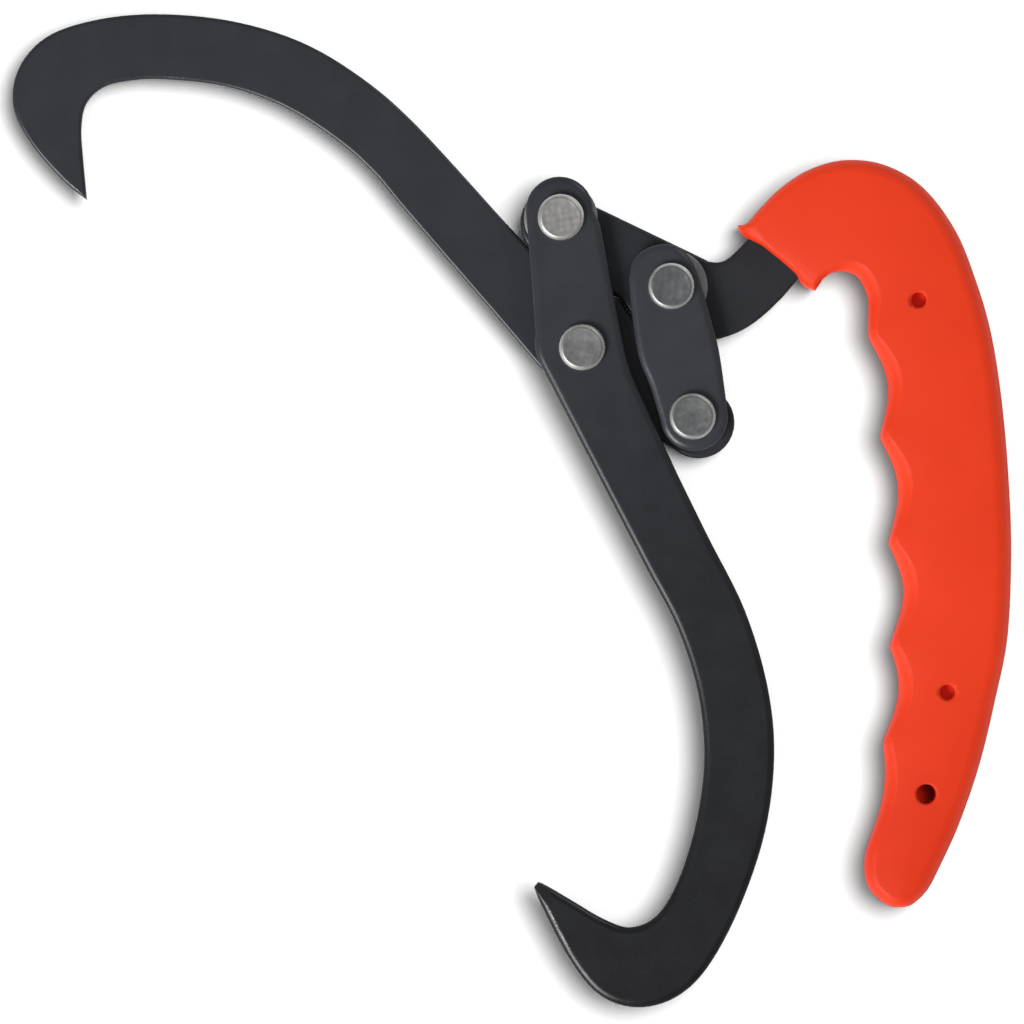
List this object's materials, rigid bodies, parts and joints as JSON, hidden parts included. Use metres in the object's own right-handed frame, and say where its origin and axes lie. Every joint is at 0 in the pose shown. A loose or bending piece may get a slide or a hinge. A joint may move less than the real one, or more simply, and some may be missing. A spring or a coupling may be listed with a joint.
{
  "type": "log tongs",
  "caption": "Hand log tongs: two hooked steel jaws, a link plate and a handle bar riveted as a parallelogram, with a moulded finger grip.",
  "frame": {"origin": "under the middle of the tool's outline, on the surface that the grip's back lies on", "axes": "+Z out of the tool's front, where the rivets' round heads show; +Y towards the upper jaw; +X towards the grip"},
  "size_m": [0.2498, 0.2482, 0.0208],
  "materials": {
    "plate_paint": "satin",
    "rivet_steel": "satin",
    "washer_steel": "satin",
    "grip_plastic": "satin"
  },
  "bodies": {
    "handle": {"handle_bar": "plate_paint", "grip": "grip_plastic", "handle_jaw_rivet": "rivet_steel", "handle_link_rivet": "rivet_steel", "handle_jaw_washer": "washer_steel", "handle_link_washer": "washer_steel"},
    "lower_jaw": {"lower_jaw": "plate_paint"},
    "upper_jaw": {"upper_jaw": "plate_paint", "jaw_rivet": "rivet_steel", "link_jaw_rivet": "rivet_steel", "jaw_washer": "washer_steel", "link_jaw_washer": "washer_steel"},
    "link": {"link_plate": "plate_paint"}
  },
  "joints": [
    {"name": "jaw_close", "type": "hinge", "parent": "handle", "child": "lower_jaw", "pos_m": [0.01216, 0.07317, 0.016], "axis": [0, 0, -1], "range_deg": [0, 94]},
    {"name": "jaw_pivot", "type": "hinge", "parent": "lower_jaw", "child": "upper_jaw", "pos_m": [0.01748, 0.0407, 0.013], "axis": [0, 0, -1], "range_deg": [-94, 0]},
    {"name": "link_swing", "type": "hinge", "parent": "handle", "child": "link", "pos_m": [0.03972, 0.05595, 0.016], "axis": [0, 0, -1], "range_deg": [0, 94]}
  ],
  "couplings": [
    {"joint": "jaw_pivot", "follows": "jaw_close", "ratio": -1},
    {"joint": "link_swing", "follows": "jaw_close", "ratio": 1}
  ]
}
